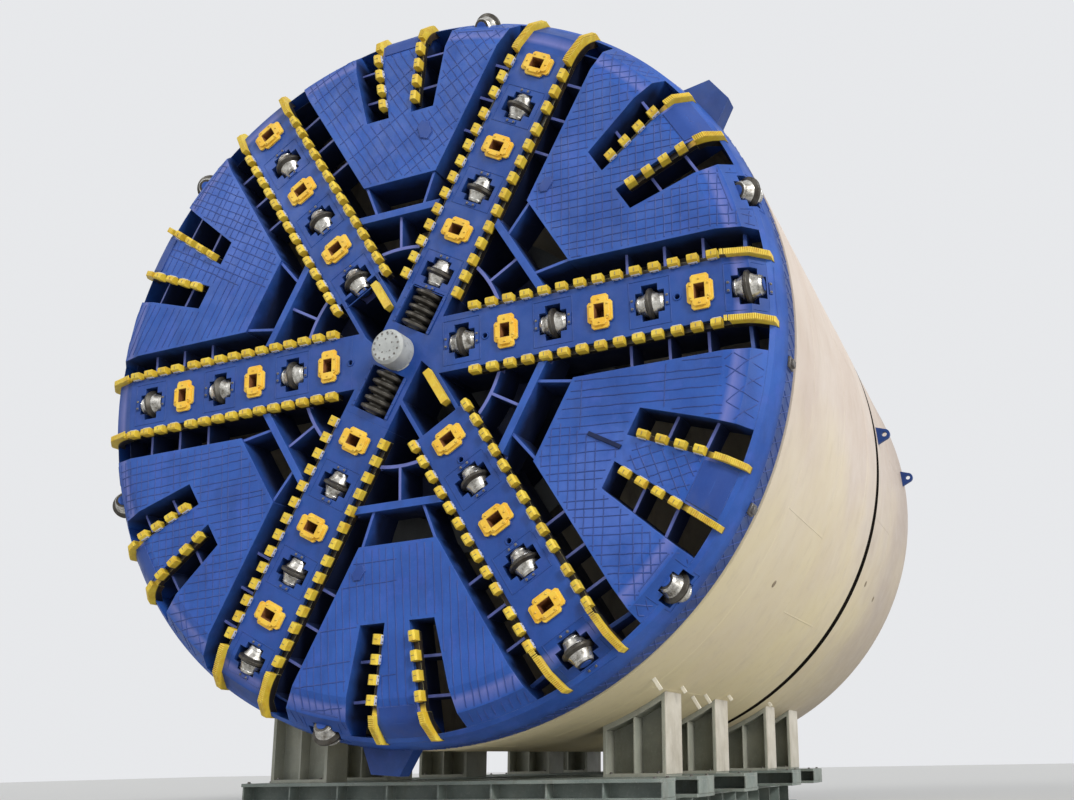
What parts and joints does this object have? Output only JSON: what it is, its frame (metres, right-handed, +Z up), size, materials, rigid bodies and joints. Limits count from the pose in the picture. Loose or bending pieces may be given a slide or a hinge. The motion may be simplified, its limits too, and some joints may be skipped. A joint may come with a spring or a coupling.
{
  "type": "tunnel boring machine cutterhead on its shield and assembly cradle",
  "caption": "Round spoked cutterhead with disc cutters and scraper rows, turning in front of a cylindrical shield that rests on a steel assembly cradle.",
  "frame": {"origin": "middle of the footprint at floor level", "axes": "+Z up, the cutterhead looks along -Y, the turning axis runs along Y, +X to the right seen from the front"},
  "size_m": [11.5474, 13.22, 12.28],
  "materials": {
    "head_blue": "satin",
    "tool_yellow": "satin",
    "disc_steel": "worn",
    "cap_grey": "satin",
    "shield_cream": "satin",
    "seam_black": "matt",
    "machine_blue": "satin",
    "drive_grey": "satin",
    "cradle_green": "satin"
  },
  "bodies": {
    "shield": {"front_shield": "shield_cream", "tail_shield": "shield_cream", "seam_ring": "seam_black", "bulkhead": "machine_blue", "main_drive": "drive_grey", "drive_motors": "machine_blue", "thrust_ring": "machine_blue", "thrust_cylinders": "machine_blue", "lifting_lugs": "head_blue", "saddles": "cradle_green", "cross_beams": "cradle_green", "base_girders": "cradle_green"},
    "cutterhead": {"hub": "head_blue", "hub_cap": "cap_grey", "arm_1": "head_blue", "arm_2": "head_blue", "arm_3": "head_blue", "arm_4": "head_blue", "arm_5": "head_blue", "arm_6": "head_blue", "panel_1": "head_blue", "panel_2": "head_blue", "panel_3": "head_blue", "panel_4": "head_blue", "panel_5": "head_blue", "panel_6": "head_blue", "rim_ring": "head_blue", "inner_ring": "head_blue", "drive_drum": "head_blue", "arm_scrapers": "tool_yellow", "panel_scrapers": "tool_yellow", "tool_boxes": "tool_yellow", "rim_lugs": "head_blue"},
    "disc_1": {"disc_1": "disc_steel"},
    "disc_2": {"disc_2": "disc_steel"},
    "disc_3": {"disc_3": "disc_steel"},
    "disc_4": {"disc_4": "disc_steel"},
    "disc_5": {"disc_5": "disc_steel"},
    "disc_6": {"disc_6": "disc_steel"},
    "disc_7": {"disc_7": "disc_steel"},
    "disc_8": {"disc_8": "disc_steel"},
    "disc_9": {"disc_9": "disc_steel"},
    "disc_10": {"disc_10": "disc_steel"},
    "disc_11": {"disc_11": "disc_steel"},
    "disc_12": {"disc_12": "disc_steel"},
    "disc_13": {"disc_13": "disc_steel"},
    "disc_14": {"disc_14": "disc_steel"},
    "disc_15": {"disc_15": "disc_steel"},
    "disc_16": {"disc_16": "disc_steel"},
    "disc_17": {"disc_17": "disc_steel"},
    "disc_18": {"disc_18": "disc_steel"},
    "disc_19": {"disc_19": "disc_steel"},
    "gauge_disc_1": {"gauge_disc_1": "disc_steel"},
    "gauge_disc_2": {"gauge_disc_2": "disc_steel"},
    "gauge_disc_3": {"gauge_disc_3": "disc_steel"},
    "gauge_disc_4": {"gauge_disc_4": "disc_steel"},
    "gauge_disc_5": {"gauge_disc_5": "disc_steel"},
    "gauge_disc_6": {"gauge_disc_6": "disc_steel"},
    "centre_discs_a": {"centre_discs_a": "disc_steel"},
    "centre_discs_b": {"centre_discs_b": "disc_steel"}
  },
  "joints": [
    {"name": "cutterhead_turn", "type": "hinge", "parent": "shield", "child": "cutterhead", "pos_m": [0, -6.3, 6.72], "axis": [0, 1, 0], "continuous": true},
    {"name": "disc_1_roll", "type": "hinge", "parent": "cutterhead", "child": "disc_1", "pos_m": [0.60164, -6.195, 7.86111], "axis": [0.4664, 0, 0.8846], "continuous": true},
    {"name": "disc_2_roll", "type": "hinge", "parent": "cutterhead", "child": "disc_2", "pos_m": [1.23033, -6.195, 9.05353], "axis": [0.4664, 0, 0.8846], "continuous": true},
    {"name": "disc_3_roll", "type": "hinge", "parent": "cutterhead", "child": "disc_3", "pos_m": [1.85902, -6.195, 10.24594], "axis": [0.4664, 0, 0.8846], "continuous": true},
    {"name": "disc_4_roll", "type": "hinge", "parent": "cutterhead", "child": "disc_4", "pos_m": [1.02924, -6.195, 6.75954], "axis": [0.9993, 0, 0.0384], "continuous": true},
    {"name": "disc_5_roll", "type": "hinge", "parent": "cutterhead", "child": "disc_5", "pos_m": [2.4362, -6.195, 6.81359], "axis": [0.9993, 0, 0.0384], "continuous": true},
    {"name": "disc_6_roll", "type": "hinge", "parent": "cutterhead", "child": "disc_6", "pos_m": [3.84316, -6.195, 6.86764], "axis": [0.9993, 0, 0.0384], "continuous": true},
    {"name": "disc_7_roll", "type": "hinge", "parent": "cutterhead", "child": "disc_7", "pos_m": [5.16119, -6.155, 6.91827], "axis": [0.9993, 0, 0.0384], "continuous": true},
    {"name": "disc_8_roll", "type": "hinge", "parent": "cutterhead", "child": "disc_8", "pos_m": [1.25626, -6.195, 4.7251], "axis": [0.5329, 0, -0.8462], "continuous": true},
    {"name": "disc_9_roll", "type": "hinge", "parent": "cutterhead", "child": "disc_9", "pos_m": [2.01028, -6.195, 3.52774], "axis": [0.5329, 0, -0.8462], "continuous": true},
    {"name": "disc_10_roll", "type": "hinge", "parent": "cutterhead", "child": "disc_10", "pos_m": [2.75231, -6.155, 2.34941], "axis": [0.5329, 0, -0.8462], "continuous": true},
    {"name": "disc_11_roll", "type": "hinge", "parent": "cutterhead", "child": "disc_11", "pos_m": [-0.97102, -6.195, 4.8783], "axis": [-0.4664, 0, -0.8846], "continuous": true},
    {"name": "disc_12_roll", "type": "hinge", "parent": "cutterhead", "child": "disc_12", "pos_m": [-1.60717, -6.195, 3.67173], "axis": [-0.4664, 0, -0.8846], "continuous": true},
    {"name": "disc_13_roll", "type": "hinge", "parent": "cutterhead", "child": "disc_13", "pos_m": [-2.24332, -6.195, 2.46517], "axis": [-0.4664, 0, -0.8846], "continuous": true},
    {"name": "disc_14_roll", "type": "hinge", "parent": "cutterhead", "child": "disc_14", "pos_m": [-1.82066, -6.195, 6.65006], "axis": [-0.9993, 0, -0.0384], "continuous": true},
    {"name": "disc_15_roll", "type": "hinge", "parent": "cutterhead", "child": "disc_15", "pos_m": [-3.14368, -6.195, 6.59923], "axis": [-0.9993, 0, -0.0384], "continuous": true},
    {"name": "disc_16_roll", "type": "hinge", "parent": "cutterhead", "child": "disc_16", "pos_m": [-4.46671, -6.195, 6.54841], "axis": [-0.9993, 0, -0.0384], "continuous": true},
    {"name": "disc_17_roll", "type": "hinge", "parent": "cutterhead", "child": "disc_17", "pos_m": [-0.79399, -6.195, 7.98083], "axis": [-0.5329, 0, 0.8462], "continuous": true},
    {"name": "disc_18_roll", "type": "hinge", "parent": "cutterhead", "child": "disc_18", "pos_m": [-1.49099, -6.195, 9.08765], "axis": [-0.5329, 0, 0.8462], "continuous": true},
    {"name": "disc_19_roll", "type": "hinge", "parent": "cutterhead", "child": "disc_19", "pos_m": [-2.18799, -6.195, 10.19447], "axis": [-0.5329, 0, 0.8462], "continuous": true},
    {"name": "gauge_disc_1_roll", "type": "hinge", "parent": "cutterhead", "child": "gauge_disc_1", "pos_m": [5.12322, -5.93, 8.37475], "axis": [0.4467, 0.8829, 0.1443], "continuous": true},
    {"name": "gauge_disc_2_roll", "type": "hinge", "parent": "cutterhead", "child": "gauge_disc_2", "pos_m": [3.99467, -5.93, 3.11054], "axis": [0.3483, 0.8829, -0.3147], "continuous": true},
    {"name": "gauge_disc_3_roll", "type": "hinge", "parent": "cutterhead", "child": "gauge_disc_3", "pos_m": [-1.12855, -5.93, 1.45579], "axis": [-0.0984, 0.8829, -0.459], "continuous": true},
    {"name": "gauge_disc_4_roll", "type": "hinge", "parent": "cutterhead", "child": "gauge_disc_4", "pos_m": [-5.12322, -5.93, 5.06525], "axis": [-0.4467, 0.8829, -0.1443], "continuous": true},
    {"name": "gauge_disc_5_roll", "type": "hinge", "parent": "cutterhead", "child": "gauge_disc_5", "pos_m": [-3.99467, -5.93, 10.32946], "axis": [-0.3483, 0.8829, 0.3147], "continuous": true},
    {"name": "gauge_disc_6_roll", "type": "hinge", "parent": "cutterhead", "child": "gauge_disc_6", "pos_m": [1.12855, -5.93, 11.98421], "axis": [0.0984, 0.8829, 0.459], "continuous": true},
    {"name": "centre_discs_a_roll", "type": "hinge", "parent": "cutterhead", "child": "centre_discs_a", "pos_m": [0.33114, -6.195, 7.34805], "axis": [0.4664, 0, 0.8846], "continuous": true},
    {"name": "centre_discs_b_roll", "type": "hinge", "parent": "cutterhead", "child": "centre_discs_b", "pos_m": [-0.28683, -6.195, 6.17598], "axis": [0.4664, 0, 0.8846], "continuous": true}
  ]
}
